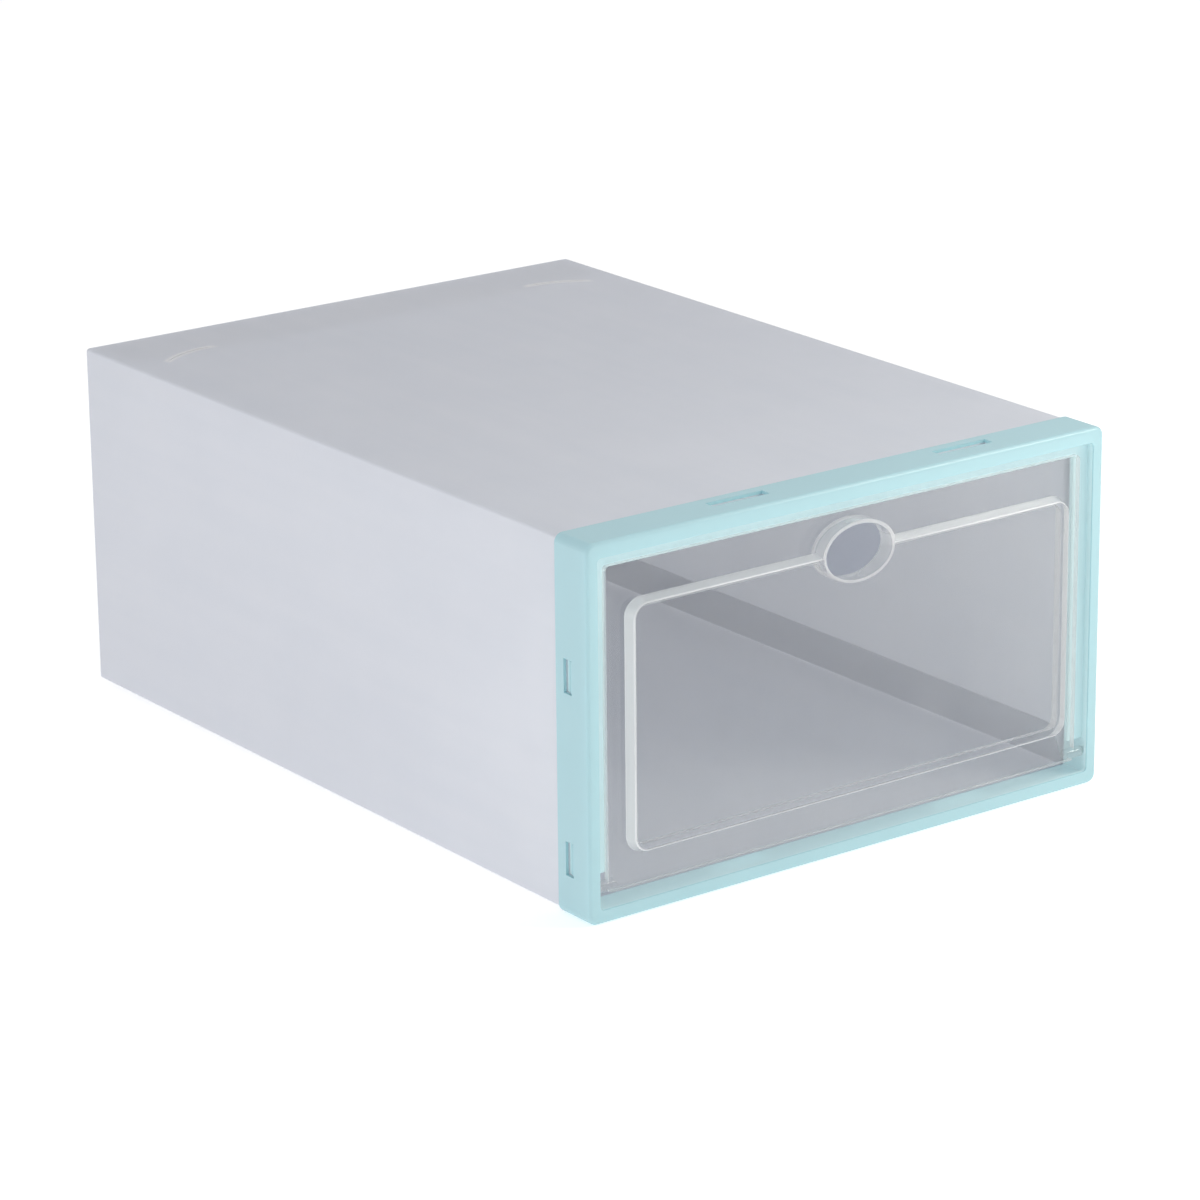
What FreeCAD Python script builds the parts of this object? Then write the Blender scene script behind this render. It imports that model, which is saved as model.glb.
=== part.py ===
import FreeCAD, Part
import os
import Sketcher

# Flat-pack shoe box: a creased plastic sheet folded into a tube with a tuck-in back,
# a clip-on front frame, and a clear drop-down door on two pins.
#
# Every body is drawn in box coordinates: X across, centred; Y back from the bezel's face;
# Z up from the underside of the folded sheet. All bodies then share one placement, which
# puts the origin under the middle of the whole object, on the surface it stands on.

DIMENSIONS = [
    # the folded sheet
    ("box_width", 240.0),
    ("box_height", 140.0),
    ("box_depth", 340.0),
    ("gauge", 0.6),
    ("crease_radius", 1.2),
    ("sheet_front", 1.9),
    ("rear_gap", 0.3),
    ("seam_width", 15.0),
    ("seam_front", 16.0),
    ("slit_length", 26.0),
    ("slit_width", 1.2),
    ("slit_across", 92.0),
    ("slit_setback", 30.0),
    ("slit_angle", 19.0),
    # the four flaps at the back
    ("tuck_length", 33.0),
    ("tuck_gap", 0.9),
    ("tuck_side_gap", 5.0),
    ("tuck_taper", 9.0),
    ("crease_relief", 1.2),
    ("dust_length", 50.0),
    ("dust_taper", 12.0),
    ("dust_bottom", 1.5),
    ("dust_top", 135.3),
    ("dust_crease", 1.8),
    # the clip-on frame
    ("frame_depth", 19.0),
    ("skirt_wall", 1.2),
    ("skirt_clearance", 0.1),
    ("frame_corner", 3.5),
    ("frame_rounding", 1.5),
    ("bezel_depth", 1.8),
    ("bezel_side", 5.0),
    ("bezel_top", 6.0),
    ("bezel_bottom", 5.2),
    ("tongue_wall", 1.5),
    ("tongue_clearance", 0.1),
    ("tongue_depth", 15.0),
    ("stop_front", 4.8),
    ("stop_wall", 1.4),
    ("stop_lap", 1.4),
    ("stop_foot", 16.0),
    ("relief_low", 54.0),
    ("relief_high", 65.0),
    ("relief_depth", 4.5),
    # barbs on the tongue, and the windows they snap into
    ("window_front", 9.5),
    ("window_width", 4.7),
    ("side_window_length", 13.0),
    ("flat_window_length", 26.0),
    ("barb_margin", 0.6),
    ("side_barb_height", 1.5),
    ("flat_barb_height", 0.8),
    ("barb_root", 0.3),
    # the door
    ("door_width", 223.2),
    ("door_bottom", 8.8),
    ("door_top", 131.3),
    ("door_front", 2.0),
    ("door_wall", 2.4),
    ("door_corner", 2.0),
    ("raise_height", 4.7),
    ("raise_draft", 10.8),
    ("raise_width", 207.0),
    ("raise_bottom", 21.9),
    ("raise_top", 117.6),
    ("raise_corner", 7.0),
    ("raise_rounding", 0.9),
    ("grip_width", 31.0),
    ("grip_height", 20.8),
    ("grip_centre", 116.1),
    ("collar_wall", 1.6),
    # the door's pivots
    ("pivot_depth", 3.6),
    ("pivot_height", 11.5),
    ("knuckle_radius", 2.2),
    ("knuckle_start", 108.0),
    ("knuckle_end", 115.9),
    ("pin_radius", 1.4),
    ("pin_end", 119.0),
    ("pin_clearance", 0.05),
]

SIDE_WINDOW_CENTRES = {"side_window_low": 21.0, "side_window_high": 90.0}
FLAT_WINDOW_CENTRES = {"flat_window_left": -45.0, "flat_window_right": 61.0}

WIDE = "(box_width / 2)"
SHEET_INSIDE = "(box_width / 2 - gauge)"
ROOF_INSIDE = "(box_height - gauge)"
OVERHANG = "(skirt_clearance + skirt_wall)"
TONGUE_SIDE = "(box_width / 2 - gauge - tongue_clearance)"
TONGUE_TOP = "(box_height - gauge - tongue_clearance)"
TONGUE_BOTTOM = "(gauge + tongue_clearance)"
FRAME_SIDE = "(box_width / 2 + skirt_clearance + skirt_wall)"
FRAME_TOP = "(box_height + skirt_clearance + skirt_wall)"
REAR_CENTRE = "(box_depth - gauge / 2)"
SHEET_REAR = "(box_depth - gauge / 2 - 2 * rear_gap)"
TUCK_HEIGHT = "(box_height - 1.5 * gauge - tuck_gap)"
DOOR_BACK = "(door_front + door_wall)"

doc = FreeCAD.newDocument("shoe_box")
sheet = doc.addObject("Spreadsheet::Sheet", "Dimensions")


def fill_sheet():
    rows = DIMENSIONS + list(SIDE_WINDOW_CENTRES.items()) + list(FLAT_WINDOW_CENTRES.items())
    for number, (alias, value) in enumerate(rows, start=1):
        sheet.set(f"A{number}", alias)
        sheet.set(f"B{number}", str(value))
        sheet.setAlias(f"B{number}", alias)
    doc.recompute()
    return [alias for alias, value in rows]


ALIASES = sorted(fill_sheet(), key=len, reverse=True)


def bound(formula):
    """Write a formula over the sheet's aliases as an expression on the sheet."""
    words = formula
    for number, alias in enumerate(ALIASES):
        words = words.replace(alias, f"<{number}>")
    for number, alias in enumerate(ALIASES):
        words = words.replace(f"<{number}>", f"Dimensions.{alias}")
    return words


def new_body(name):
    """A body in box coordinates, placed so that the whole object is centred on the origin."""
    body = doc.addObject("PartDesign::Body", name)
    body.Label = name
    body.setExpression("Placement.Base.y", bound("(raise_height - door_front - box_depth) / 2"))
    body.setExpression("Placement.Base.z", bound(OVERHANG))
    return body


def new_sketch(body, name, role, offset="0"):
    """A sketch on one of the body's origin planes, moved along the plane's normal."""
    plane = [item for item in body.Origin.OriginFeatures if item.Role == role][0]
    sketch = body.newObject("Sketcher::SketchObject", name)
    sketch.AttachmentSupport = [(plane, "")]
    sketch.MapMode = "FlatFace"
    sketch.setExpression(".AttachmentOffset.Base.z", bound(offset))
    return sketch


def fix(sketch, kind, geometry, point, formula, sign=1.0):
    """Fix one coordinate of a point, measured from the sketch's origin."""
    number = sketch.addConstraint(Sketcher.Constraint(kind, -1, 1, geometry, point, sign))
    sketch.setExpression(f"Constraints[{number}]", bound(formula))


def outline(sketch, corners):
    """A closed outline through corners given as pairs of formulas."""
    first = sketch.GeometryCount
    count = len(corners)
    for number in range(count):
        start = FreeCAD.Vector(number, number * number, 0)
        end = FreeCAD.Vector(number + 1, (number + 1) * (number + 1), 0)
        sketch.addGeometry(Part.LineSegment(start, end), False)
    for number in range(count):
        following = first + (number + 1) % count
        sketch.addConstraint(Sketcher.Constraint("Coincident", first + number, 2, following, 1))
    for number, (across, along) in enumerate(corners):
        fix(sketch, "DistanceX", first + number, 1, across)
        fix(sketch, "DistanceY", first + number, 1, along)


def rectangle(sketch, left, right, low, high):
    outline(sketch, [(left, low), (right, low), (right, high), (left, high)])


def circle(sketch, across, along, radius):
    number = sketch.addGeometry(Part.Circle(FreeCAD.Vector(1, 1, 0), FreeCAD.Vector(0, 0, 1), 1.0), False)
    fix(sketch, "DistanceX", number, 3, across)
    fix(sketch, "DistanceY", number, 3, along)
    size = sketch.addConstraint(Sketcher.Constraint("Radius", number, 1.0))
    sketch.setExpression(f"Constraints[{size}]", bound(radius))


def ellipse(sketch, along, width, height):
    """An upright ellipse centred on the sketch's vertical axis, wider than it is high."""
    major = FreeCAD.Vector(2, 10, 0)
    minor = FreeCAD.Vector(0, 11, 0)
    middle = FreeCAD.Vector(0, 10, 0)
    number = sketch.addGeometry(Part.Ellipse(major, minor, middle), False)
    sketch.exposeInternalGeometry(number)
    fix(sketch, "DistanceY", number, 3, along)
    sketch.addConstraint(Sketcher.Constraint("PointOnObject", number, 3, -2))
    sketch.addConstraint(Sketcher.Constraint("Horizontal", number + 1))
    across = sketch.addConstraint(Sketcher.Constraint("Distance", number + 1, 4.0))
    upright = sketch.addConstraint(Sketcher.Constraint("Distance", number + 2, 2.0))
    sketch.setExpression(f"Constraints[{across}]", bound(width))
    sketch.setExpression(f"Constraints[{upright}]", bound(height))


def extrude(body, kind, name, sketch, length, reverse=False, midplane=False, taper=None):
    feature = body.newObject(f"PartDesign::{kind}", name)
    feature.Profile = sketch
    feature.setExpression("Length", bound(length))
    feature.Reversed = reverse
    feature.Midplane = midplane
    if taper:
        feature.setExpression("TaperAngle", bound(taper))
    return feature


def pad(body, name, sketch, length, **options):
    feature = extrude(body, "Pad", name, sketch, length, **options)
    before = volume_of(feature.BaseFeature)
    doc.recompute()
    require(feature.Shape.Volume > before, f"{name} adds nothing")
    return feature


def pocket(body, name, sketch, length, **options):
    feature = extrude(body, "Pocket", name, sketch, length, **options)
    doc.recompute()
    require(feature.Shape.Volume < volume_of(feature.BaseFeature), f"{name} cuts nothing")
    return feature


def round_edges(body, name, base, radius, wanted):
    """Fillet the edges of a feature that the function wanted picks out."""
    edges = [f"Edge{n}" for n, edge in enumerate(base.Shape.Edges, start=1) if wanted(edge)]
    require(edges, f"{name} finds no edges")
    feature = body.newObject("PartDesign::Fillet", name)
    feature.Base = (base, edges)
    feature.setExpression("Radius", bound(radius))
    doc.recompute()
    return feature


def require(condition, message):
    if not condition:
        raise RuntimeError(message)


def volume_of(feature):
    return feature.Shape.Volume if feature else 0.0


def value(formula):
    """The present value of a formula over the sheet's aliases."""
    return float(sheet.evalExpression(bound(formula).replace("Dimensions.", "")))


def runs_back(edge):
    """True for a straight edge that runs from front to back."""
    return isinstance(edge.Curve, Part.Line) and abs(abs(edge.Curve.Direction.y) - 1.0) < 1e-6


def long_edges_at(distance):
    """Picks the front-to-back edges that stand at a distance to either side of the middle."""
    return lambda edge: runs_back(edge) and abs(abs(edge.CenterOfMass.x) - distance) < 1e-6


# ---- the folded sheet ----


def cut_windows(body, name, role, offset, places, length, depth):
    """Cut the barb windows of one wall; depth runs against the plane's normal."""
    sketch = new_sketch(body, f"{name}_outline", role, offset)
    for place in places:
        low = f"{place} - {length} / 2"
        high = f"{place} + {length} / 2"
        far = "window_front + window_width"
        if role == "YZ_Plane":
            rectangle(sketch, "window_front", far, low, high)
        else:
            rectangle(sketch, low, high, "window_front", far)
    return pocket(body, name, sketch, depth, midplane=True)


def flat_panel(name, underside, rear):
    """The top or the bottom panel, between the bends of the long creases."""
    body = new_body(name)
    sketch = new_sketch(body, f"{name}_outline", "XY_Plane", underside)
    half = f"({WIDE} - crease_radius)"
    rectangle(sketch, f"-{half}", half, "sheet_front", rear)
    pad(body, f"{name}_sheet", sketch, "gauge")
    middle = f"{underside} + gauge / 2"
    cut_windows(body, f"{name}_windows", "XY_Plane", middle, FLAT_WINDOW_CENTRES,
                "flat_window_length", "3 * gauge")
    return body


def cut_lock_slits(body):
    """Two slanted slits near the back of the top panel, where the tuck flap locks."""
    for name, side in (("left_slit", -1), ("right_slit", 1)):
        sketch = new_sketch(body, f"{name}_outline", "XY_Plane", "box_height - gauge / 2")
        sketch.setExpression(".AttachmentOffset.Base.x", bound(f"{side} * slit_across"))
        sketch.setExpression(".AttachmentOffset.Base.y", bound("box_depth - slit_setback"))
        sketch.setExpression(".AttachmentOffset.Rotation.Angle", bound(f"-{side} * slit_angle"))
        rectangle(sketch, "-slit_length / 2", "slit_length / 2", "-slit_width / 2", "slit_width / 2")
        pocket(body, name, sketch, "3 * gauge", midplane=True)


def side_panel(name, side):
    """A long side, with the bends of its top and bottom creases, cut from the folded tube."""
    body = new_body(name)
    outside = value(WIDE)
    inside = value(SHEET_INSIDE)
    outline_out = new_sketch(body, f"{name}_outer_section", "XZ_Plane", "-sheet_front")
    rectangle(outline_out, f"-{WIDE}", WIDE, "0", "box_height")
    tube = pad(body, f"{name}_tube", outline_out, f"{SHEET_REAR} - sheet_front", reverse=True)
    round_edges(body, f"{name}_outer_bends", tube, "crease_radius", long_edges_at(outside))
    outline_in = new_sketch(body, f"{name}_inner_section", "XZ_Plane", "-sheet_front")
    rectangle(outline_in, f"-{SHEET_INSIDE}", SHEET_INSIDE, "gauge", ROOF_INSIDE)
    hollow = pocket(body, f"{name}_hollow", outline_in, "2 * box_depth", midplane=True)
    round_edges(body, f"{name}_inner_bends", hollow, "crease_radius - gauge", long_edges_at(inside))
    rest = new_sketch(body, f"{name}_rest_outline", "XZ_Plane", "-sheet_front")
    rectangle(rest, f"{side} * ({WIDE} - crease_radius)", f"-{side} * (box_width)", "-gauge",
              "box_height + gauge")
    pocket(body, f"{name}_cut_out", rest, "2 * box_depth", midplane=True)
    middle = f"{side} * ({WIDE} - gauge / 2)"
    cut_windows(body, f"{name}_windows", "YZ_Plane", middle, SIDE_WINDOW_CENTRES,
                "side_window_length", "3 * gauge")
    return body


def seam_flap():
    """The strip that closes the tube, turned up from the bottom panel inside the right side."""
    body = new_body("seam_flap")
    sketch = new_sketch(body, "seam_flap_outline", "YZ_Plane", f"{SHEET_INSIDE} - gauge")
    outline(sketch, [("seam_front", "crease_radius"), (SHEET_REAR, "crease_radius"),
                     (f"{SHEET_REAR} - seam_width / 2", "crease_radius + seam_width"),
                     ("seam_front + seam_width / 2", "crease_radius + seam_width")])
    pad(body, "seam_flap_sheet", sketch, "gauge")
    return body


# ---- the flaps at the back ----


def rear_panel():
    """The back wall, which turns down about the rear crease of the bottom panel."""
    body = new_body("rear_panel")
    sketch = new_sketch(body, "rear_panel_outline", "XZ_Plane", "-(box_depth - gauge)")
    half = f"({WIDE} - rear_gap)"
    rectangle(sketch, f"-{half}", half, "gauge / 2", f"{TUCK_HEIGHT} - crease_relief")
    pad(body, "rear_panel_sheet", sketch, "gauge", reverse=True)
    return body


def tuck_flap():
    """The flap at the head of the back wall, tucked in under the top panel."""
    body = new_body("tuck_flap")
    sketch = new_sketch(body, "tuck_flap_outline", "XY_Plane", TUCK_HEIGHT)
    half = f"({WIDE} - tuck_side_gap)"
    rear = f"({REAR_CENTRE} - crease_relief)"
    front = f"({REAR_CENTRE} - tuck_length)"
    outline(sketch, [(f"-{half}", rear), (f"-{half}", f"{front} + tuck_taper"),
                     (f"-({half} - tuck_taper)", front), (f"{half} - tuck_taper", front),
                     (half, f"{front} + tuck_taper"), (half, rear)])
    pad(body, "tuck_flap_sheet", sketch, "gauge", midplane=True)
    return body


def dust_flap(name, side):
    """A side flap, folded in behind the back wall from the rear crease of a long side."""
    body = new_body(name)
    plane = f"-({REAR_CENTRE} - gauge - rear_gap)"
    sketch = new_sketch(body, f"{name}_outline", "XZ_Plane", plane)
    hinge = f"({WIDE} - dust_crease)"
    tip = f"({hinge} - dust_length)"
    outline(sketch, [(f"{side} * {hinge}", "dust_bottom"),
                     (f"{side} * {tip}", "dust_bottom + dust_taper"),
                     (f"{side} * {tip}", "dust_top - dust_taper"),
                     (f"{side} * {hinge}", "dust_top")])
    pad(body, f"{name}_sheet", sketch, "gauge", midplane=True)
    return body


# ---- the frame ----


def ring(body, name, outer, inner, front, length):
    """A rectangular ring from front backwards; outer and inner are half width, low, high."""
    sketch = new_sketch(body, f"{name}_section", "XZ_Plane", f"-{front}")
    for half, low, high in (outer, inner):
        rectangle(sketch, f"-{half}", half, low, high)
    return pad(body, name, sketch, length, reverse=True)


def add_barb(body, name, role, place, kind, face, outward):
    """A wedge that ramps up from the back and locks at the front; kind is side or flat."""
    sketch = new_sketch(body, f"{name}_section", role, place)
    root = f"{face} - {outward} * barb_root"
    tip = f"{face} + {outward} * {kind}_barb_height"
    lock = "window_front + barb_margin"
    ramp = "window_front + window_width - barb_margin"
    corners = [(root, lock), (tip, lock), (tip, f"{lock} + barb_root"), (face, ramp), (root, ramp)]
    if role == "YZ_Plane":
        corners = [(along, across) for across, along in corners]
    outline(sketch, corners)
    pad(body, name, sketch, f"{kind}_window_length - 2 * barb_margin", midplane=True)


def front_frame():
    body = new_body("front_frame")
    opening_side = f"({FRAME_SIDE} - bezel_side)"
    opening_top = f"({FRAME_TOP} - bezel_top)"
    opening_bottom = f"(bezel_bottom - {OVERHANG})"
    outer = (FRAME_SIDE, f"-{OVERHANG}", FRAME_TOP)
    opening = (opening_side, opening_bottom, opening_top)
    clear_side = f"({WIDE} + skirt_clearance)"
    skirt_inside = (clear_side, "-skirt_clearance", "box_height + skirt_clearance")
    tongue = (TONGUE_SIDE, TONGUE_BOTTOM, TONGUE_TOP)
    tongue_inside = (f"({TONGUE_SIDE} - tongue_wall)", f"({TONGUE_BOTTOM} + tongue_wall)",
                     f"({TONGUE_TOP} - tongue_wall)")
    ring(body, "bezel", outer, opening, "0", "bezel_depth")
    skirt = ring(body, "skirt", outer, skirt_inside, "0", "frame_depth")
    corners = round_edges(body, "frame_corners", skirt, "frame_corner", long_edges_at(value(FRAME_SIDE)))
    bends = round_edges(body, "skirt_bends", corners, "crease_radius + skirt_clearance",
                        long_edges_at(value(clear_side)))

    def front_rim(edge):
        box = edge.BoundBox
        reach = max(abs(box.XMin), abs(box.XMax))
        beside_opening = reach < value(opening_side) + 1e-6
        between = box.ZMin > value(opening_bottom) - 1e-6 and box.ZMax < value(opening_top) + 1e-6
        return box.YMax < 1e-6 and not (beside_opening and between)

    round_edges(body, "frame_rim", bends, "frame_rounding", front_rim)
    ring(body, "tongue", tongue, tongue_inside, "bezel_depth / 2", "tongue_depth - bezel_depth / 2")
    round_edges(body, "tongue_bends", body.Tip, "crease_radius", long_edges_at(value(TONGUE_SIDE)))
    add_door_stop(body)
    cut_frame_windows(body)
    add_frame_barbs(body)
    cut_tongue_reliefs(body)
    bore_pivots(body)
    return body


def add_door_stop(body):
    """A lip on the sides and the top of the tongue, just behind the closed door."""
    sketch = new_sketch(body, "door_stop_outline", "XZ_Plane", "-stop_front")
    inner_side = "(door_width / 2 - stop_lap)"
    inner_top = "(door_top - stop_lap)"
    side = f"({TONGUE_SIDE} - tongue_wall / 2)"
    top = f"({TONGUE_TOP} - tongue_wall / 2)"
    outline(sketch, [(f"-{side}", "stop_foot"), (f"-{inner_side}", "stop_foot"),
                     (f"-{inner_side}", inner_top), (inner_side, inner_top),
                     (inner_side, "stop_foot"), (side, "stop_foot"),
                     (side, top), (f"-{side}", top)])
    pad(body, "door_stop", sketch, "stop_wall", reverse=True)


def cut_frame_windows(body):
    """Windows in the skirt, in line with the barbs; each cut passes the skirt's own wall only."""
    depth = "2 * skirt_wall"
    for name, side in (("left", -1), ("right", 1)):
        cut_windows(body, f"{name}_skirt_windows", "YZ_Plane", f"{side} * {FRAME_SIDE}",
                    SIDE_WINDOW_CENTRES, "side_window_length", depth)
    for name, height in (("lower", f"-{OVERHANG}"), ("upper", FRAME_TOP)):
        cut_windows(body, f"{name}_skirt_windows", "XY_Plane", height,
                    FLAT_WINDOW_CENTRES, "flat_window_length", depth)


def add_frame_barbs(body):
    for name, side in (("left", -1), ("right", 1)):
        for place in SIDE_WINDOW_CENTRES:
            add_barb(body, f"{name}_barb_{place}", "XY_Plane", place, "side",
                     f"{side} * {TONGUE_SIDE}", side)
    for name, face, outward in (("lower", TONGUE_BOTTOM, -1), ("upper", TONGUE_TOP, 1)):
        for place in FLAT_WINDOW_CENTRES:
            add_barb(body, f"{name}_barb_{place}", "YZ_Plane", place, "flat", face, outward)


def cut_tongue_reliefs(body):
    """A notch half way up the rear edge of each side tongue."""
    for name, side in (("left", -1), ("right", 1)):
        middle = f"{side} * ({TONGUE_SIDE} - tongue_wall / 2)"
        sketch = new_sketch(body, f"{name}_relief_outline", "YZ_Plane", middle)
        rectangle(sketch, "tongue_depth - relief_depth", "tongue_depth + 1", "relief_low", "relief_high")
        pocket(body, f"{name}_relief", sketch, "tongue_wall + tongue_clearance", midplane=True)


def bore_pivots(body):
    """Holes in the side tongues for the door's pins."""
    for name, side in (("left", -1), ("right", 1)):
        middle = f"{side} * ({TONGUE_SIDE} - tongue_wall / 2)"
        sketch = new_sketch(body, f"{name}_pivot_outline", "YZ_Plane", middle)
        circle(sketch, "pivot_depth", "pivot_height", "pin_radius + pin_clearance")
        pocket(body, f"{name}_pivot", sketch, "tongue_wall + tongue_clearance", midplane=True)


# ---- the door ----


def add_knuckles(body):
    """A short knuckle at each lower corner, with the pin that turns in the frame."""
    for name, side in (("left", -1), ("right", 1)):
        for kind, radius, start, end in (("knuckle", "knuckle_radius", "knuckle_start", "knuckle_end"),
                                         ("pin", "pin_radius", "knuckle_start", "pin_end")):
            sketch = new_sketch(body, f"{name}_{kind}_section", "YZ_Plane", f"{side} * {start}")
            circle(sketch, "pivot_depth", "pivot_height", radius)
            pad(body, f"{name}_{kind}", sketch, f"{end} - {start}", reverse=side < 0)


def door():
    body = new_body("door")
    half = "(door_width / 2)"
    plate_outline = new_sketch(body, "plate_outline", "XZ_Plane", "-door_front")
    rectangle(plate_outline, f"-{half}", half, "door_bottom", "door_top")
    plate = pad(body, "plate", plate_outline, "door_wall", reverse=True)
    round_edges(body, "plate_corners", plate, "door_corner", runs_back)

    raise_half = "(raise_width / 2)"
    raise_outline = new_sketch(body, "raise_outline", "XZ_Plane", "-door_front")
    rectangle(raise_outline, f"-{raise_half}", raise_half, "raise_bottom", "raise_top")
    raised = pad(body, "raised_panel", raise_outline, "raise_height", taper="-raise_draft")
    base_plane = value("door_front")

    def slanted_outside(edge):
        return edge.BoundBox.YMin < -0.1 and edge.BoundBox.YMax > base_plane - 1e-6

    slopes = round_edges(body, "raise_corners", raised, "raise_corner", slanted_outside)
    front_plane = value("door_front - raise_height")
    round_edges(body, "raise_rim", slopes, "raise_rounding",
                lambda edge: edge.BoundBox.YMax < front_plane + 1e-3)

    hollow_outline = new_sketch(body, "hollow_outline", "XZ_Plane", f"-{DOOR_BACK}")
    wall = "(door_wall * 0.9)"
    rectangle(hollow_outline, f"-({raise_half} - {wall})", f"{raise_half} - {wall}",
              f"raise_bottom + {wall}", f"raise_top - {wall}")
    hollow = pocket(body, "hollow", hollow_outline, "raise_height", reverse=True, taper="-raise_draft")
    back_plane = value(DOOR_BACK)

    def slanted_inside(edge):
        box = edge.BoundBox
        slant = box.YMax > back_plane - 1e-6 and box.YMin < back_plane - value("raise_height") + 0.1
        return slant and box.ZLength < 3 and box.XLength < 3

    round_edges(body, "hollow_corners", hollow, "raise_corner - door_wall", slanted_inside)

    collar_outline = new_sketch(body, "collar_outline", "XZ_Plane", f"-{DOOR_BACK}")
    ellipse(collar_outline, "grip_centre", "grip_width + 2 * collar_wall", "grip_height + 2 * collar_wall")
    pad(body, "collar", collar_outline, "door_wall + raise_height")
    grip_outline = new_sketch(body, "grip_outline", "XZ_Plane", f"-{DOOR_BACK}")
    ellipse(grip_outline, "grip_centre", "grip_width", "grip_height")
    pocket(body, "finger_hole", grip_outline, "4 * raise_height", midplane=True)
    add_knuckles(body)
    return body


def build():
    """Make every body, in the order that the box is put together."""
    top_panel = flat_panel("top_panel", ROOF_INSIDE, "box_depth")
    cut_lock_slits(top_panel)
    return [
        top_panel,
        flat_panel("bottom_panel", "0", SHEET_REAR),
        side_panel("left_panel", -1),
        side_panel("right_panel", 1),
        seam_flap(),
        rear_panel(),
        tuck_flap(),
        dust_flap("left_dust_flap", -1),
        dust_flap("right_dust_flap", 1),
        front_frame(),
        door(),
    ]


def check_and_write(bodies):
    doc.recompute()
    for item in doc.Objects:
        faults = {"Invalid", "Error"}.intersection(item.State)
        require(not faults, f"{item.Name} failed: {item.State}")
    for body in bodies:
        shape = body.Shape
        require(not shape.isNull() and shape.isValid(), f"{body.Label} has a bad shape")
        require(len(shape.Solids) == 1, f"{body.Label} has {len(shape.Solids)} solids")
    os.makedirs("parts", exist_ok=True)
    for body in bodies:
        body.Shape.exportStep(f"parts/{body.Label}.step")
        print(body.Label, round(body.Shape.Volume), body.Shape.BoundBox)


check_and_write(build())
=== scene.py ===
import math

import bmesh
import bpy
from mathutils import Matrix, Vector


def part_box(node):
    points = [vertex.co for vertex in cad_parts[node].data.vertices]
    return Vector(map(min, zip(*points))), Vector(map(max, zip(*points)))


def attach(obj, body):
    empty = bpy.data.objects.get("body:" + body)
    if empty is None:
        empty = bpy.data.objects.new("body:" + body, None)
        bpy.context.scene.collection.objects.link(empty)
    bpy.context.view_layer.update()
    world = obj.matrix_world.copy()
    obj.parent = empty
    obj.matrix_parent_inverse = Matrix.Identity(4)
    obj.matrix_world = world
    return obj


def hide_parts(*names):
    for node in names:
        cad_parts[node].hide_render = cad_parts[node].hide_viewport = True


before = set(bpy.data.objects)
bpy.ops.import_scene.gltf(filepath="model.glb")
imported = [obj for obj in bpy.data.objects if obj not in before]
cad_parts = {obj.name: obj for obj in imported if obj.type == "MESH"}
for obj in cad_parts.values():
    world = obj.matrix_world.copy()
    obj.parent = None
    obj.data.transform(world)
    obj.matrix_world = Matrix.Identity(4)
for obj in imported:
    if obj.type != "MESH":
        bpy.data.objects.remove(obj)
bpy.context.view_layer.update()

MM = 0.001

# Sizes are in millimetres in box coordinates, worked out from the frame where it holds them:
# across from the middle, back from the bezel's face, and up from the underside of the sheet.

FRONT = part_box("front_frame")[0].y
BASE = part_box("left_panel")[0].z


def at(across, back, up):
    """A place in box coordinates, as a point in the row frame."""
    return Vector((across * MM, FRONT + back * MM, BASE + up * MM))


def spans(node):
    """The lowest and highest corner of a CAD node in box coordinates."""
    corners = [(c.x / MM, (c.y - FRONT) / MM, (c.z - BASE) / MM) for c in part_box(node)]
    return [Vector([round(v, 4) for v in corner]) for corner in corners]


# the folded sheet, the grid of its mesh, and how far its walls bow off flat
SHEET_FRONT = spans("left_panel")[0].y
HALF_WIDTH = spans("right_panel")[1].x
ROOF = spans("right_panel")[1].z
REAR = spans("top_panel")[1].y
GAUGE = spans("bottom_panel")[1].z
CREASE_RADIUS = HALF_WIDTH - spans("top_panel")[1].x
GRID_STEP = 14.0
ROOF_BOW, FLOOR_BOW, SIDE_BOW = -0.55, 0.25, 0.45

# its flaps: the corners left by the knife, and the tapers at their free ends
CUT_END = 0.4
TUCK_TAPER = 9
DUST_TAPER = 12
SEAM_TAPER = 7.5

# the front frame: bezel, skirt outside the sheet, tongue inside it, and the door's stop
FRAME_SIDE, FRAME_DEPTH, FRAME_TOP = spans("front_frame")[1]
FRAME_BOTTOM = spans("front_frame")[0].z
FRAME_CORNER = 3.5
FRAME_ROUNDING = 1.5
SKIRT_WALL = 1.2
SKIRT_EDGE = 0.35
SKIRT_INNER_CORNER = 1.3
BEZEL_DEPTH = 1.8
BEZEL_SIDE, BEZEL_BOTTOM, BEZEL_TOP = 5.0, 5.2, 6.0
OPENING = {"half": FRAME_SIDE - BEZEL_SIDE, "low": FRAME_BOTTOM + BEZEL_BOTTOM,
           "high": FRAME_TOP - BEZEL_TOP}
OPENING_CORNER = 1.6
OPENING_EDGE = ((0.55, 0.0), (0.16, -0.12), (0.0, -0.5))
TONGUE_GAP = 0.1
TONGUE_WALL = 1.5
TONGUE_BACK = 15.0
TONGUE_CORNER = 1.2
TONGUE_INNER_CORNER = 0.4
TONGUE_RELIEF = {"low": 54.0, "high": 65.0, "depth": 4.5}
FREE_EDGE = 0.3
# where the frame's inner faces get the paler plastic with a painted glow: painted light in the shade
# behind the bezel
GLOW_PAINT_FROM, GLOW_PAINT_LOW, GLOW_PAINT_HIGH = 0.5, -0.1, ROOF + 0.15
STOP_FRONT = 4.8
STOP_WALL = 1.4
STOP_LAP = 1.4
STOP_FOOT = 16.0

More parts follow.
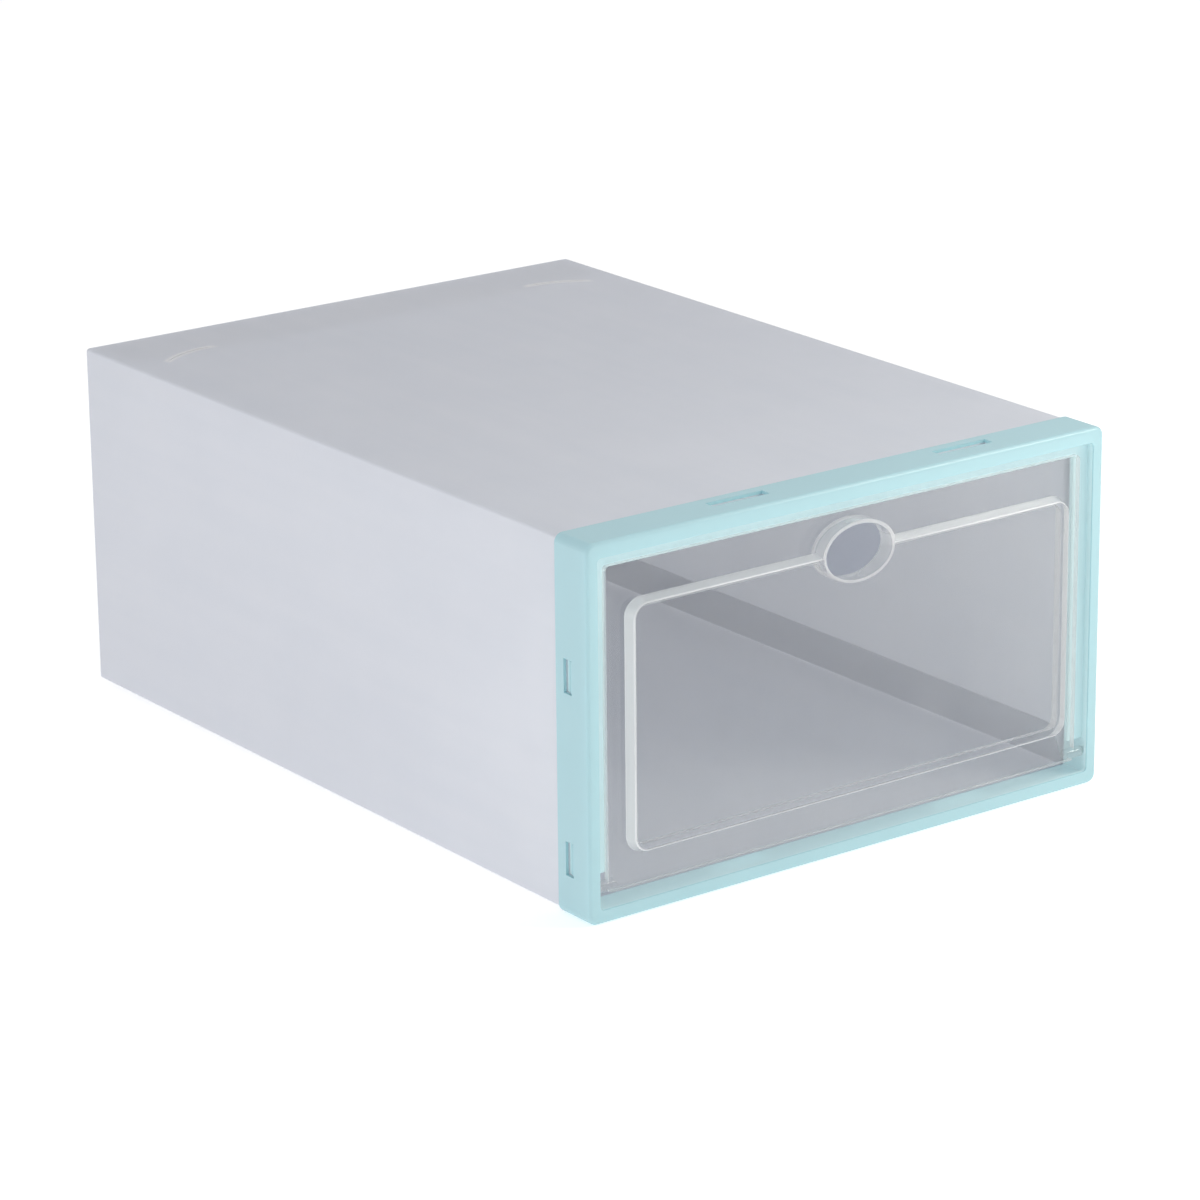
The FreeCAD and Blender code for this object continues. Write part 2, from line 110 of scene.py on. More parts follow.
# the windows, by centre and length, and the barbs that snap into them
WINDOW_FRONT = 9.5
WINDOW_BACK = 14.2
SIDE_WINDOWS = [(21.0, 13.0), (90.0, 13.0)]
FLAT_WINDOWS = [(-45.0, 26.0), (61.0, 26.0)]
CUTTER_LAP = 0.35
CUTTER_PAST = 1.0
BARB_MARGIN = 0.6
BARB_ROOT = 0.4
BARB_TIP = 0.15
BARB_LAND = 0.5
SIDE_BARB = 1.5
FLAT_BARB = 0.8

# the two lock slits in the roof
SLIT_ACROSS = 92.0
SLIT_SETBACK = 30.0
SLIT_LENGTH = 26.0
SLIT_WIDTH = 1.2
SLIT_ANGLE = math.radians(19.0)
SLIT_BEND = 2.2

# the door: plate, raised panel, finger hole, and pivots
DOOR_HALF = 111.6
DOOR_LOW, DOOR_HIGH = spans("door")[0].z, spans("door")[1].z
DOOR_FRONT = 2.0
DOOR_WALL = 2.4
DOOR_EDGE = 0.45
RAISE = {"half": 103.5, "low": 21.9, "high": 117.6, "corner": 7.0}
RAISE_HEIGHT = 4.7
RAISE_DRAFT = 0.9
RAISE_ROUNDING = 0.9
EDGE_TURN = 0.13
GRIP_CENTRE = 116.1
GRIP_HALF = (15.5, 10.4)
COLLAR_WALL = 1.6
PIVOT_BACK, PIVOT_UP = 3.6, 11.5
PIVOT_BORE = 1.45
KNUCKLE_RADIUS, KNUCKLE_END = 2.2, 115.9
PIN_RADIUS, PIN_END = 1.4, spans("door")[1].x
PIN_AREA = {"from": 107.5, "reach": 2.3}


# ---- mesh tools ----


def new_object(name, mesh):
    obj = bpy.data.objects.new(name, mesh)
    bpy.context.scene.collection.objects.link(obj)
    return obj


def mesh_object(name, points, faces):
    """A mesh from points in box coordinates, with its faces turned outwards."""
    mesh = bpy.data.meshes.new(name)
    mesh.from_pydata([at(*p) for p in points], [], faces)
    surface = bmesh.new()
    surface.from_mesh(mesh)
    bmesh.ops.recalc_face_normals(surface, faces=surface.faces)
    surface.to_mesh(mesh)
    surface.free()
    return new_object(name, mesh)


def loft(name, rings, closed=False):
    """A skin through rings of points: joined end to end when closed, capped otherwise."""
    count = len(rings[0])
    points = [p for ring in rings for p in ring]
    last = len(rings) if closed else len(rings) - 1
    faces = []
    for k in range(last):
        first, second = k * count, (k + 1) % len(rings) * count
        for i in range(count):
            j = (i + 1) % count
            faces.append((first + i, first + j, second + j, second + i))
    if not closed:
        faces += [tuple(range(count)), tuple(range(len(points) - count, len(points)))]
    return mesh_object(name, points, faces)


def rect_ring(back, half, low, high, corner, count=8):
    """A rounded rectangle facing front, as a ring of points."""
    ring = []
    for side, up, start in ((1, low, -90), (1, high, 0), (-1, high, 90), (-1, low, 180)):
        middle_up = up + corner if up == low else up - corner
        for i in range(count + 1):
            angle = math.radians(start + 90 * i / count)
            ring.append((side * (half - corner) + corner * math.cos(angle), back,
                         middle_up + corner * math.sin(angle)))
    return ring


def inset(rect, distance):
    """A rectangle's half width, low and high, drawn in by a distance."""
    return rect["half"] - distance, rect["low"] + distance, rect["high"] - distance


def ellipse_ring(back, half_wide, half_high, up, count=64):
    turns = [2 * math.pi * i / count for i in range(count)]
    return [(half_wide * math.cos(t), back, up + half_high * math.sin(t)) for t in turns]


def circle_ring(across, radius, back, up, count=32):
    turns = [2 * math.pi * i / count for i in range(count)]
    return [(across, back + radius * math.cos(t), up + radius * math.sin(t)) for t in turns]


def block(name, low, high):
    points = [(x, y, z) for x in (low[0], high[0]) for y in (low[1], high[1]) for z in (low[2], high[2])]
    faces = [(0, 1, 3, 2), (4, 6, 7, 5), (0, 4, 5, 1), (2, 3, 7, 6), (0, 2, 6, 4), (1, 5, 7, 3)]
    return mesh_object(name, points, faces)


def smooth(obj, angle=32.0):
    """Smooth shading, with edges sharper than the angle kept sharp."""
    mesh = obj.data
    for polygon in mesh.polygons:
        polygon.use_smooth = True
    edges = bmesh.new()
    edges.from_mesh(mesh)
    limit = math.radians(angle)
    for edge in edges.edges:
        edge.smooth = len(edge.link_faces) == 2 and edge.calc_face_angle(0.0) < limit
    edges.to_mesh(mesh)
    edges.free()
    return obj


def even_normals(obj):
    """Let the large flat faces set the shading at their own edges."""
    weigh = obj.modifiers.new("even_normals", "WEIGHTED_NORMAL")
    weigh.keep_sharp = True
    weigh.weight = 100
    return bake(obj)


def bake(obj):
    """Turn the object's modifiers into its mesh."""
    graph = bpy.context.evaluated_depsgraph_get()
    mesh = bpy.data.meshes.new_from_object(obj.evaluated_get(graph))
    obj.modifiers.clear()
    obj.data = mesh
    return obj


def add_bevel(obj, width, segments=2, angle=30.0):
    bevel = obj.modifiers.new("soft_edges", "BEVEL")
    bevel.width = width
    bevel.segments = segments
    bevel.limit_method = "ANGLE"
    bevel.angle_limit = math.radians(angle)
    bevel.harden_normals = False
    bevel.miter_outer = "MITER_ARC"
    return bevel


def combine(obj, operation, others):
    """Cut the others out of the object, or join them to it, and throw them away."""
    for other in others:
        step = obj.modifiers.new(operation.lower(), "BOOLEAN")
        step.operation = operation
        step.solver = "EXACT"
        step.object = other
    bake(obj)
    for other in others:
        bpy.data.objects.remove(other)
    return obj


def paint(obj, index, chosen):
    """Give a material slot to the faces whose every corner, in box coordinates, is chosen."""
    origin = at(0, 0, 0)
    picked = [chosen((vertex.co - origin) / MM) for vertex in obj.data.vertices]
    for polygon in obj.data.polygons:
        if all(picked[v] for v in polygon.vertices):
            polygon.material_index = index


def finish_piece(obj, body, materials, replaced=()):
    obj.data.materials.clear()
    for material in materials:
        obj.data.materials.append(material)
    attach(obj, body)
    if replaced:
        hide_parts(*replaced)
    return obj


# ---- materials ----


class Nodes:
    """A material's node tree, with short calls to add and link its nodes."""

    def __init__(self, name):
        self.material = bpy.data.materials.new(name)
        self.material.use_nodes = True
        self.tree = self.material.node_tree
        self.tree.nodes.clear()

    def add(self, kind, **values):
        node = self.tree.nodes.new(f"ShaderNode{kind}")
        inputs = values.pop("inputs", {})
        for key, value in values.items():
            setattr(node, key, value)
        for key, value in inputs.items():
            self.feed(node.inputs[key], value)
        return node

    def feed(self, socket, value):
        if isinstance(value, bpy.types.NodeSocket):
            self.tree.links.new(value, socket)
        else:
            socket.default_value = value

    def math(self, operation, first, second=0.0, third=0.0):
        node = self.add("Math", operation=operation, inputs={0: first, 1: second, 2: third})
        return node.outputs[0]

    def place(self):
        return self.add("TexCoord").outputs["Object"]

    def noise(self, scale, detail=3.0, roughness=0.5, stretch=None):
        place = self.place()
        if stretch:
            mapping = self.add("Mapping", inputs={"Vector": place, "Scale": stretch})
            place = mapping.outputs[0]
        node = self.add("TexNoise", inputs={"Vector": place, "Scale": scale, "Detail": detail,
                                            "Roughness": roughness})
        return node.outputs["Fac"]

    def remap(self, value, low, high, to_low, to_high, smooth_step=False):
        node = self.add("MapRange", inputs={"Value": value, "From Min": low, "From Max": high,
                                            "To Min": to_low, "To Max": to_high})
        if smooth_step:
            node.interpolation_type = "SMOOTHSTEP"
        return node.outputs["Result"]

    def colour_mix(self, factor, first, second):
        node = self.add("Mix", data_type="RGBA")
        self.feed(node.inputs["Factor"], factor)
        self.feed(node.inputs[6], first)
        self.feed(node.inputs[7], second)
        return node.outputs[2]

    def bump(self, height, distance, strength=1.0, normal=None):
        node = self.add("Bump", inputs={"Height": height, "Distance": distance, "Strength": strength})
        if normal:
            self.feed(node.inputs["Normal"], normal)
        return node.outputs[0]

    def shader_mix(self, factor, first, second):
        node = self.add("MixShader")
        self.feed(node.inputs[0], factor)
        self.feed(node.inputs[1], first)
        self.feed(node.inputs[2], second)
        return node.outputs[0]

    def output(self, shader):
        self.feed(self.add("OutputMaterial").inputs["Surface"], shader)
        return self.material


def slit_whitening(n):
    """Stress marks in the sheet: a pale halo along the two lock slits in the roof."""
    across, back, up = n.add("SeparateXYZ", inputs={0: n.place()}).outputs
    middle = at(SLIT_ACROSS, REAR - SLIT_SETBACK, ROOF)
    out = n.math("SUBTRACT", n.math("ABSOLUTE", across), middle.x)
    rear = n.math("SUBTRACT", back, middle.y)
    cosine, sine = math.cos(SLIT_ANGLE), math.sin(SLIT_ANGLE)
    along = n.math("SUBTRACT", n.math("MULTIPLY", out, cosine), n.math("MULTIPLY", rear, sine))
    beside = n.math("ADD", n.math("MULTIPLY", out, sine), n.math("MULTIPLY", rear, cosine))
    bend = n.math("MULTIPLY", n.math("MULTIPLY", along, along), SLIT_BEND / (SLIT_LENGTH / 2) ** 2 / MM)
    off_line = n.math("ABSOLUTE", n.math("ADD", beside, bend))
    near = n.remap(off_line, 0.8 * MM, 2.6 * MM, 1.0, 0.0)
    ends = n.remap(n.math("ABSOLUTE", along), SLIT_LENGTH / 2 * MM, (SLIT_LENGTH / 2 + 3) * MM, 1.0, 0.0)
    on_roof = n.math("GREATER_THAN", up, middle.z - 1 * MM)
    return n.math("MULTIPLY", n.math("MULTIPLY", near, ends), on_roof)


def frosted_sheet(name, inside):
    """Milky polypropylene sheet: soft gloss, light let through, faint mottling and a fine grain; the
    inside face is painted darker and warmer, as painted shade inside the box.
    """
    n = Nodes(name)
    mottle = n.noise(28.0, detail=4.0, roughness=0.6)
    streak = n.noise(9.0, detail=2.0, stretch=(14.0, 0.7, 14.0))
    cloud = n.math("ADD", n.math("MULTIPLY", mottle, 0.6), n.math("MULTIPLY", streak, 0.4))
    blend = n.remap(cloud, 0.35, 0.65, 0.0, 1.0)
    dull, bright, stressed = (0.835, 0.855, 0.90, 1.0), (0.86, 0.875, 0.915, 1.0), (0.97, 0.97, 0.98, 1.0)
    # painted shade: the sheet's inside face is painted darker and warmer than its outside, for the shade
    # inside the box
    if inside:
        dull, bright = (0.81, 0.79, 0.755, 1.0), (0.84, 0.82, 0.785, 1.0)
    colour = n.colour_mix(blend, dull, bright)
    if not inside:
        colour = n.colour_mix(slit_whitening(n), colour, stressed)
    grain = n.noise(2600.0, detail=2.0)
    waves = n.noise(11.0, detail=1.0, stretch=(1.0, 0.5, 1.0))
    uneven = n.bump(waves, 0.0012, 0.6)
    normal = uneven if inside else n.bump(grain, 0.00003, 0.7, uneven)
    body = n.add("BsdfPrincipled", inputs={"Base Color": colour, "IOR": 1.49, "Normal": normal,
                                           "Roughness": n.remap(mottle, 0.3, 0.7, 0.45, 0.55)})
    through = n.add("BsdfTranslucent", inputs={"Color": colour, "Normal": uneven})
    tint = (0.985, 0.96, 0.915, 1.0) if inside else (0.96, 0.97, 0.985, 1.0)
    clear = n.add("BsdfTransparent", inputs={"Color": tint})
    milky = n.shader_mix(0.36, body.outputs[0], through.outputs[0])
    return n.output(n.shader_mix(0.60 if inside else 0.02, milky, clear.outputs[0]))


def frame_plastic(name, thin):
    """Aqua moulded plastic with a satin face; a thin wall lets more through, and is painted paler with a
    faint painted glow, as painted light in the shade behind the bezel.
    """
    n = Nodes(name)
    cloud = n.noise(38.0, detail=3.0)
    deep, pale = (0.55, 0.80, 0.85, 1.0), (0.57, 0.815, 0.865, 1.0)
    # painted light: the thin inner walls get a much paler aqua, standing in for light in the shade behind
    # the bezel
    if thin:
        deep, pale = (0.80, 0.95, 0.965, 1.0), (0.83, 0.96, 0.97, 1.0)
    colour = n.colour_mix(n.remap(cloud, 0.2, 0.8, 0.0, 1.0), deep, pale)
    grain = n.noise(1800.0, detail=2.0)
    normal = n.bump(grain, 0.00002, 0.5)
    # painted glow: the thin inner walls emit a faint aqua light of their own, though they are no lamp
    body = n.add("BsdfPrincipled", inputs={"Base Color": colour, "IOR": 1.5, "Normal": normal,
                                           "Emission Color": (0.80, 0.95, 0.97, 1.0),
                                           "Emission Strength": 0.17 if thin else 0.0,
                                           "Roughness": n.remap(cloud, 0.2, 0.8, 0.19, 0.26)})
    through = n.add("BsdfTranslucent", inputs={"Color": colour})
    clear = n.add("BsdfTransparent", inputs={"Color": (0.86, 0.97, 0.98, 1.0)})
    milky = n.shader_mix(0.35 if thin else 0.25, body.outputs[0], through.outputs[0])
    return n.output(n.shader_mix(0.15 if thin else 0.02, milky, clear.outputs[0]))


def painted_rim_light(n, face_share, wall_share, edge_share):
    """Where a clear moulding is painted white as painted highlight: most at rounded edges, then on walls
    that face left or up, where the light falls on them.
    """
    facing = n.add("SeparateXYZ", inputs={0: n.add("TexCoord").outputs["Normal"]}).outputs
    flat = n.math("ABSOLUTE", facing[1])
    left = n.math("MAXIMUM", n.math("MULTIPLY", facing[0], -1.0), 0.0)
    right = n.math("MAXIMUM", facing[0], 0.0)
    up = n.math("MAXIMUM", facing[2], 0.0)
    # painted light: walls facing left or up are painted whiter, as the light falls from the left and
    # above
    wall = n.math("MULTIPLY_ADD", left, 0.54, n.math("MULTIPLY_ADD", up, 0.36, 0.09))
    wall = n.math("MULTIPLY", wall, wall_share)
    # painted highlight: rounded edges are painted white, less where they face right or up
    edge = n.math("MULTIPLY_ADD", right, -0.5, n.math("MULTIPLY_ADD", up, -0.3, 1.0))
    edge = n.math("MULTIPLY", edge, edge_share)
    rounding = n.remap(flat, 0.25, 0.5, 0.0, 1.0)
    between = n.math("MULTIPLY", rounding, n.math("SUBTRACT", edge, wall))
    standing = n.math("ADD", wall, between)
    flatness = n.remap(flat, 0.88, 0.98, 0.0, 1.0)
    return n.math("MULTIPLY_ADD", flatness, n.math("SUBTRACT", face_share, standing), standing)


def clear_plastic(name, face_share=0.0, wall_share=1.0, edge_share=1.0):
    """Clear moulding: seen through head-on under a faint haze; its rims and slopes are painted white, as
    painted highlights for the light they carry.
    """
    n = Nodes(name)
    rim = painted_rim_light(n, face_share, wall_share, edge_share)
    scuff = n.noise(55.0, detail=4.0, roughness=0.7, stretch=(1.0, 1.0, 0.3))
    haze = n.remap(scuff, 0.40, 0.75, 0.03, 0.065)
    ripple = n.bump(n.noise(16.0, detail=1.0), 0.00012, 0.4)
    clear = n.add("BsdfTransparent", inputs={"Color": (0.945, 0.945, 0.94, 1.0)})
    gloss = n.add("BsdfGlossy", inputs={"Color": (1.0, 1.0, 1.0, 1.0), "Normal": ripple,
                                        "Roughness": n.remap(scuff, 0.3, 0.8, 0.04, 0.11)})
    grazing = n.add("LayerWeight", inputs={"Blend": 0.5, "Normal": ripple}).outputs["Facing"]
    reflect = n.math("MULTIPLY_ADD", n.math("POWER", grazing, 5.0), 0.9, 0.04)
    # this white serves both the real haze over the faces and the painted highlights on rims and slopes
    haze_and_painted_highlight = n.add("BsdfDiffuse", inputs={"Color": (0.94, 0.94, 0.95, 1.0)})
    glow = n.add("BsdfTranslucent", inputs={"Color": (0.96, 0.96, 0.97, 1.0)})
    white = n.shader_mix(0.4, haze_and_painted_highlight.outputs[0], glow.outputs[0])
    hazed = n.shader_mix(haze, clear.outputs[0], white)
    edged = n.shader_mix(rim, hazed, white)
    return n.output(n.shader_mix(reflect, edged, gloss.outputs[0]))


def studio_floor():
    """Pale matte floor, with a little light of its own to keep the backdrop white."""
    n = Nodes("studio_floor")
    speck = n.noise(30.0)
    colour = n.colour_mix(speck, (0.90, 0.90, 0.90, 1.0), (0.93, 0.93, 0.93, 1.0))
    matte = n.add("BsdfPrincipled", inputs={"Base Color": colour, "Roughness": 0.9,
                                            "Specular IOR Level": 0.1,
                                            "Emission Color": (1.0, 1.0, 1.0, 1.0),
                                            "Emission Strength": 0.42})
    return n.output(matte.outputs[0])


SHEET = frosted_sheet("frosted_sheet", inside=False)
SHEET_INSIDE_SHADED = frosted_sheet("frosted_sheet_inside_shaded", inside=True)
AQUA = frame_plastic("frame_plastic", thin=False)
AQUA_PAINTED_GLOW = frame_plastic("frame_plastic_painted_glow", thin=True)
CLEAR = clear_plastic("clear_plastic")
# copies with other shares of the painted highlight: the collar's faces are painted half white round the
# finger hole, and the pins get only a little
CLEAR_COLLAR = clear_plastic("clear_plastic_collar", face_share=0.55, wall_share=0.45)
CLEAR_PIN = clear_plastic("clear_plastic_pin", wall_share=0.12, edge_share=0.12)


# ---- the folded sleeve ----


def stops(low, high, step, extra=()):
    """Even stops from low to high, with the extra ones put in exactly."""
    fixed = sorted({low, high, *(e for e in extra if low < e < high)})
    out = []
    for start, end in zip(fixed, fixed[1:]):
        count = max(1, round((end - start) / step))
        out += [start + (end - start) * i / count for i in range(count)]
    return out + [high]


def window_edges(windows):
    return [place + side * length / 2 for place, length in windows for side in (-1, 1)]


def in_window(place, windows):
    return any(abs(place - centre) < length / 2 for centre, length in windows)


def bend_points(across, up, start, count=6):
    points = []
    for i in range(1, count):
        angle = math.radians(start + 90.0 * i / count)
        points.append((across + CREASE_RADIUS * math.cos(angle),
                       up + CREASE_RADIUS * math.sin(angle), "bend"))
    return points


def sleeve_section():
    """Points round the tube's outer face: across, up, and the panel each is on."""
    flat = HALF_WIDTH - CREASE_RADIUS
    low, high = CREASE_RADIUS, ROOF - CREASE_RADIUS
    along = stops(-flat, flat, GRID_STEP, window_edges(FLAT_WINDOWS))
    rising = stops(low, high, GRID_STEP, window_edges(SIDE_WINDOWS))
    points = [(x, 0.0, "bottom") for x in along]
    points += bend_points(flat, low, -90.0)
    points += [(HALF_WIDTH, z, "right") for z in rising]
    points += bend_points(flat, high, 0.0)
    points += [(x, ROOF, "top") for x in reversed(along)]
    points += bend_points(-flat, high, 90.0)
    points += [(-HALF_WIDTH, z, "left") for z in reversed(rising)]
    points += bend_points(-flat, low, 180.0)
    return points


def bowed(x, z, panel, share):
    """A point of the section, off its plane a little: thin sheet never lies quite flat."""
    wave = math.sin(math.pi * share) ** 0.7
    if panel in ("top", "bottom"):
        bow = ROOF_BOW if panel == "top" else FLOOR_BOW
        return x, z + bow * math.cos(math.pi * x / (2 * HALF_WIDTH)) * wave
    if panel in ("left", "right"):
        side = 1 if panel == "right" else -1
        return x + side * SIDE_BOW * math.sin(math.pi * z / ROOF) * wave, z
    return x, z


def window_here(first, second):
    """True where a strip of the section lies in one of the barb windows."""
    if first[2] != second[2] or first[2] == "bend":
        return False
    if first[2] in ("left", "right"):
        return in_window((first[1] + second[1]) / 2, SIDE_WINDOWS)
    return in_window((first[0] + second[0]) / 2, FLAT_WINDOWS)


def folded_sleeve():
    """The four walls as one creased skin, given its gauge inwards, with the windows and slits cut."""
    section = sleeve_section()
    stations = stops(SHEET_FRONT, REAR, GRID_STEP, (WINDOW_FRONT, WINDOW_BACK, FRAME_DEPTH))
    points, faces = [], []
    for back in stations:
        share = max(0.0, (back - FRAME_DEPTH) / (REAR - FRAME_DEPTH))
        for x, z, panel in section:
            across, up = bowed(x, z, panel, share)
            points.append((across, back if panel == "top" else min(back, REAR - GAUGE / 2), up))
    count = len(section)
    for row, (near, far) in enumerate(zip(stations, stations[1:])):
        cut_row = WINDOW_FRONT < (near + far) / 2 < WINDOW_BACK
        for i in range(count):
            j = (i + 1) % count
            if cut_row and window_here(section[i], section[j]):
                continue
            first, second = row * count, (row + 1) * count
            faces.append((first + i, first + j, second + j, second + i))
    sleeve = mesh_object("folded_sleeve", points, faces)
    sleeve.data.materials.append(SHEET)
    sleeve.data.materials.append(SHEET_INSIDE_SHADED)
    solid = sleeve.modifiers.new("gauge", "SOLIDIFY")
    solid.thickness = GAUGE * MM
    solid.offset = -1.0
    solid.use_even_offset = True
    # the inner shell gets the sheet painted darker: painted shade inside the box
    solid.material_offset = 1
    bake(sleeve)
    combine(sleeve, "DIFFERENCE", [slit_cutter(side) for side in (-1, 1)])
    smooth(sleeve)
    return finish_piece(sleeve, "box", (SHEET, SHEET_INSIDE_SHADED),
                        ("top_panel", "left_panel", "bottom_panel", "right_panel"))


def slit_cutter(side):
    """A thin curved blade for one lock slit in the roof."""
    steps = 12
    reach = 4.0
    turn = Matrix.Rotation(-side * SLIT_ANGLE, 2)
    rings = []
    for i in range(steps + 1):
        share = 2 * i / steps - 1
        half = SLIT_WIDTH / 2 * math.sqrt(max(0.04, 1 - share ** 4))
        ring = []
        for edge, height in ((-half, -reach), (half, -reach), (half, reach), (-half, reach)):
            flat = turn @ Vector((share * SLIT_LENGTH / 2, edge - SLIT_BEND * share * share))
            ring.append((side * SLIT_ACROSS + flat.x, REAR - SLIT_SETBACK + flat.y, ROOF + height))
        rings.append(ring)
    return loft(f"slit_cutter_{side}", rings)


# ---- flat plates of sheet ----


def rounded(corners, radii, count=6):
    """An outline with its corners rounded; corners run round the outline, one radius each."""
    out = []
    total = len(corners)
    for i, radius in enumerate(radii):
        here = Vector(corners[i])
        if radius <= 0:
            out.append(here)
            continue
        before = (Vector(corners[i - 1]) - here).normalized()
        after = (Vector(corners[(i + 1) % total]) - here).normalized()
        half = before.angle(after) / 2
        reach = radius / math.tan(half)
        centre = here + (before + after).normalized() * radius / math.sin(half)
        start = (here + before * reach) - centre
        end = (here + after * reach) - centre
        sweep = start.angle_signed(end)
        for k in range(count + 1):
            turned = Matrix.Rotation(-sweep * k / count, 2) @ start
            out.append(centre + turned)
    return out


def plate(name, outline, to_box, thickness, edge=0.12):
    """A flat plate from a 2-D outline; to_box takes a point and a height to box coordinates."""
    rings = [[to_box(p, height) for p in outline] for height in (-thickness / 2, thickness / 2)]
    obj = loft(name, rings)
    add_bevel(obj, edge * MM, angle=40.0)
    return smooth(bake(obj))


def rear_flaps():
    """The back wall up to its crease, the tuck flap under the roof, and the two dust flaps."""
    low, high = spans("rear_panel")
    tuck_low, tuck_high = spans("tuck_flap")
    middle = (low.y + high.y) / 2
    level = (tuck_low.z + tuck_high.z) / 2
    crease = level + GAUGE / 2
    corners = [(low.x, low.z), (high.x, low.z), (high.x, crease), (low.x, crease)]
    back = plate("rear_panel_sheet", rounded(corners, [CUT_END] * 4),
                 lambda p, h: (p.x, middle + h, p.y), GAUGE)
    finish_piece(back, "rear_panel", [SHEET], ["rear_panel"])
    half, front = tuck_high.x, tuck_low.y
    corners = [(-half, middle), (-half, front + TUCK_TAPER), (-half + TUCK_TAPER, front),
               (half - TUCK_TAPER, front), (half, front + TUCK_TAPER), (half, middle)]
    tuck = plate("tuck_flap_sheet", rounded(corners, [CUT_END, 5, 8, 8, 5, CUT_END]),
                 lambda p, h: (p.x, p.y, level + h), GAUGE)
    finish_piece(tuck, "tuck_flap", [SHEET], ["tuck_flap"])
    for node in ("left_dust_flap", "right_dust_flap"):
        low, high = spans(node)
        hinge, tip = (low.x, high.x) if node.startswith("left") else (high.x, low.x)
        depth = (low.y + high.y) / 2
        corners = [(hinge, low.z), (tip, low.z + DUST_TAPER), (tip, high.z - DUST_TAPER), (hinge, high.z)]
        flap = plate(f"{node}_sheet", rounded(corners, [CUT_END, 9, 9, CUT_END]),
                     lambda p, h, d=depth: (p.x, d + h, p.y), GAUGE)
        finish_piece(flap, node, [SHEET], [node])


def seam():
    """The welded strip inside the right side that closes the sleeve."""
    low, high = spans("seam_flap")
    middle = (low.x + high.x) / 2
    corners = [(low.y, low.z), (high.y, low.z), (high.y - SEAM_TAPER, high.z),
               (low.y + SEAM_TAPER, high.z)]
    flap = plate("seam_flap_sheet", rounded(corners, [CUT_END, CUT_END, 4, 4]),
                 lambda p, h: (middle + h, p.x, p.y), GAUGE)
    finish_piece(flap, "box", [SHEET], ["seam_flap"])


# ---- the front frame ----


def frame_ring(back, distance, corner):
    """A ring of the frame, a distance inside its outer face."""
    outer = {"half": FRAME_SIDE, "low": FRAME_BOTTOM, "high": FRAME_TOP}
    return rect_ring(back, *inset(outer, distance), corner)


def frame_shell():
    """Bezel, skirt and tongue as one closed skin, lofted round the frame's profile."""
    rounding_steps = 6
    skirt_in = SKIRT_WALL
    tongue_out = FRAME_SIDE - (HALF_WIDTH - GAUGE - TONGUE_GAP)
    tongue_in = tongue_out + TONGUE_WALL
    rings = []
    for i in range(rounding_steps + 1):
        turn = math.radians(90 * i / rounding_steps)
        drawn_in = FRAME_ROUNDING * (1 - math.sin(turn))
        rings.append(frame_ring(FRAME_ROUNDING * (1 - math.cos(turn)), drawn_in, FRAME_CORNER - drawn_in))
    rings += [frame_ring(FRAME_DEPTH - SKIRT_EDGE, 0.0, FRAME_CORNER),
              frame_ring(FRAME_DEPTH - 0.1, 0.1, FRAME_CORNER - 0.1),
              frame_ring(FRAME_DEPTH, SKIRT_EDGE, FRAME_CORNER - SKIRT_EDGE),
              frame_ring(FRAME_DEPTH, skirt_in - FREE_EDGE, SKIRT_INNER_CORNER + FREE_EDGE),
              frame_ring(FRAME_DEPTH - FREE_EDGE, skirt_in, SKIRT_INNER_CORNER),
              frame_ring(BEZEL_DEPTH, skirt_in, SKIRT_INNER_CORNER),
              frame_ring(BEZEL_DEPTH, tongue_out, TONGUE_CORNER),
              frame_ring(TONGUE_BACK - FREE_EDGE, tongue_out, TONGUE_CORNER),
              frame_ring(TONGUE_BACK, tongue_out + FREE_EDGE, TONGUE_CORNER - FREE_EDGE),
              frame_ring(TONGUE_BACK, tongue_in - FREE_EDGE, TONGUE_INNER_CORNER + FREE_EDGE),
              frame_ring(TONGUE_BACK - FREE_EDGE, tongue_in, TONGUE_INNER_CORNER),
              frame_ring(BEZEL_DEPTH, tongue_in, TONGUE_INNER_CORNER)]
    for back, drawn_in in ((BEZEL_DEPTH, 0.0), *OPENING_EDGE):
        rings.append(rect_ring(back, *inset(OPENING, drawn_in), OPENING_CORNER - drawn_in))
    return loft("front_frame_moulding", rings, closed=True)


def barb(name, flat, place, length, height, outward):
    """A wedge on the tongue that ramps up from the back and locks at the front."""
    gap = GAUGE + TONGUE_GAP
    if flat:
        face = ROOF - gap if outward > 0 else gap
    else:
        face = outward * (HALF_WIDTH - gap)
    lock, ramp = WINDOW_FRONT + BARB_MARGIN, WINDOW_BACK - BARB_MARGIN
    profile = [(lock, -BARB_ROOT), (lock, height - BARB_TIP), (lock + BARB_TIP, height),
               (lock + BARB_LAND, height), (ramp, 0.0), (ramp, -BARB_ROOT)]
    half = length / 2 - BARB_MARGIN
    rings = []
    for end in (place - half, place + half):
        if flat:
            rings.append([(end, back, face + outward * out) for back, out in profile])
        else:
            rings.append([(face + outward * out, back, end) for back, out in profile])
    return loft(name, rings)


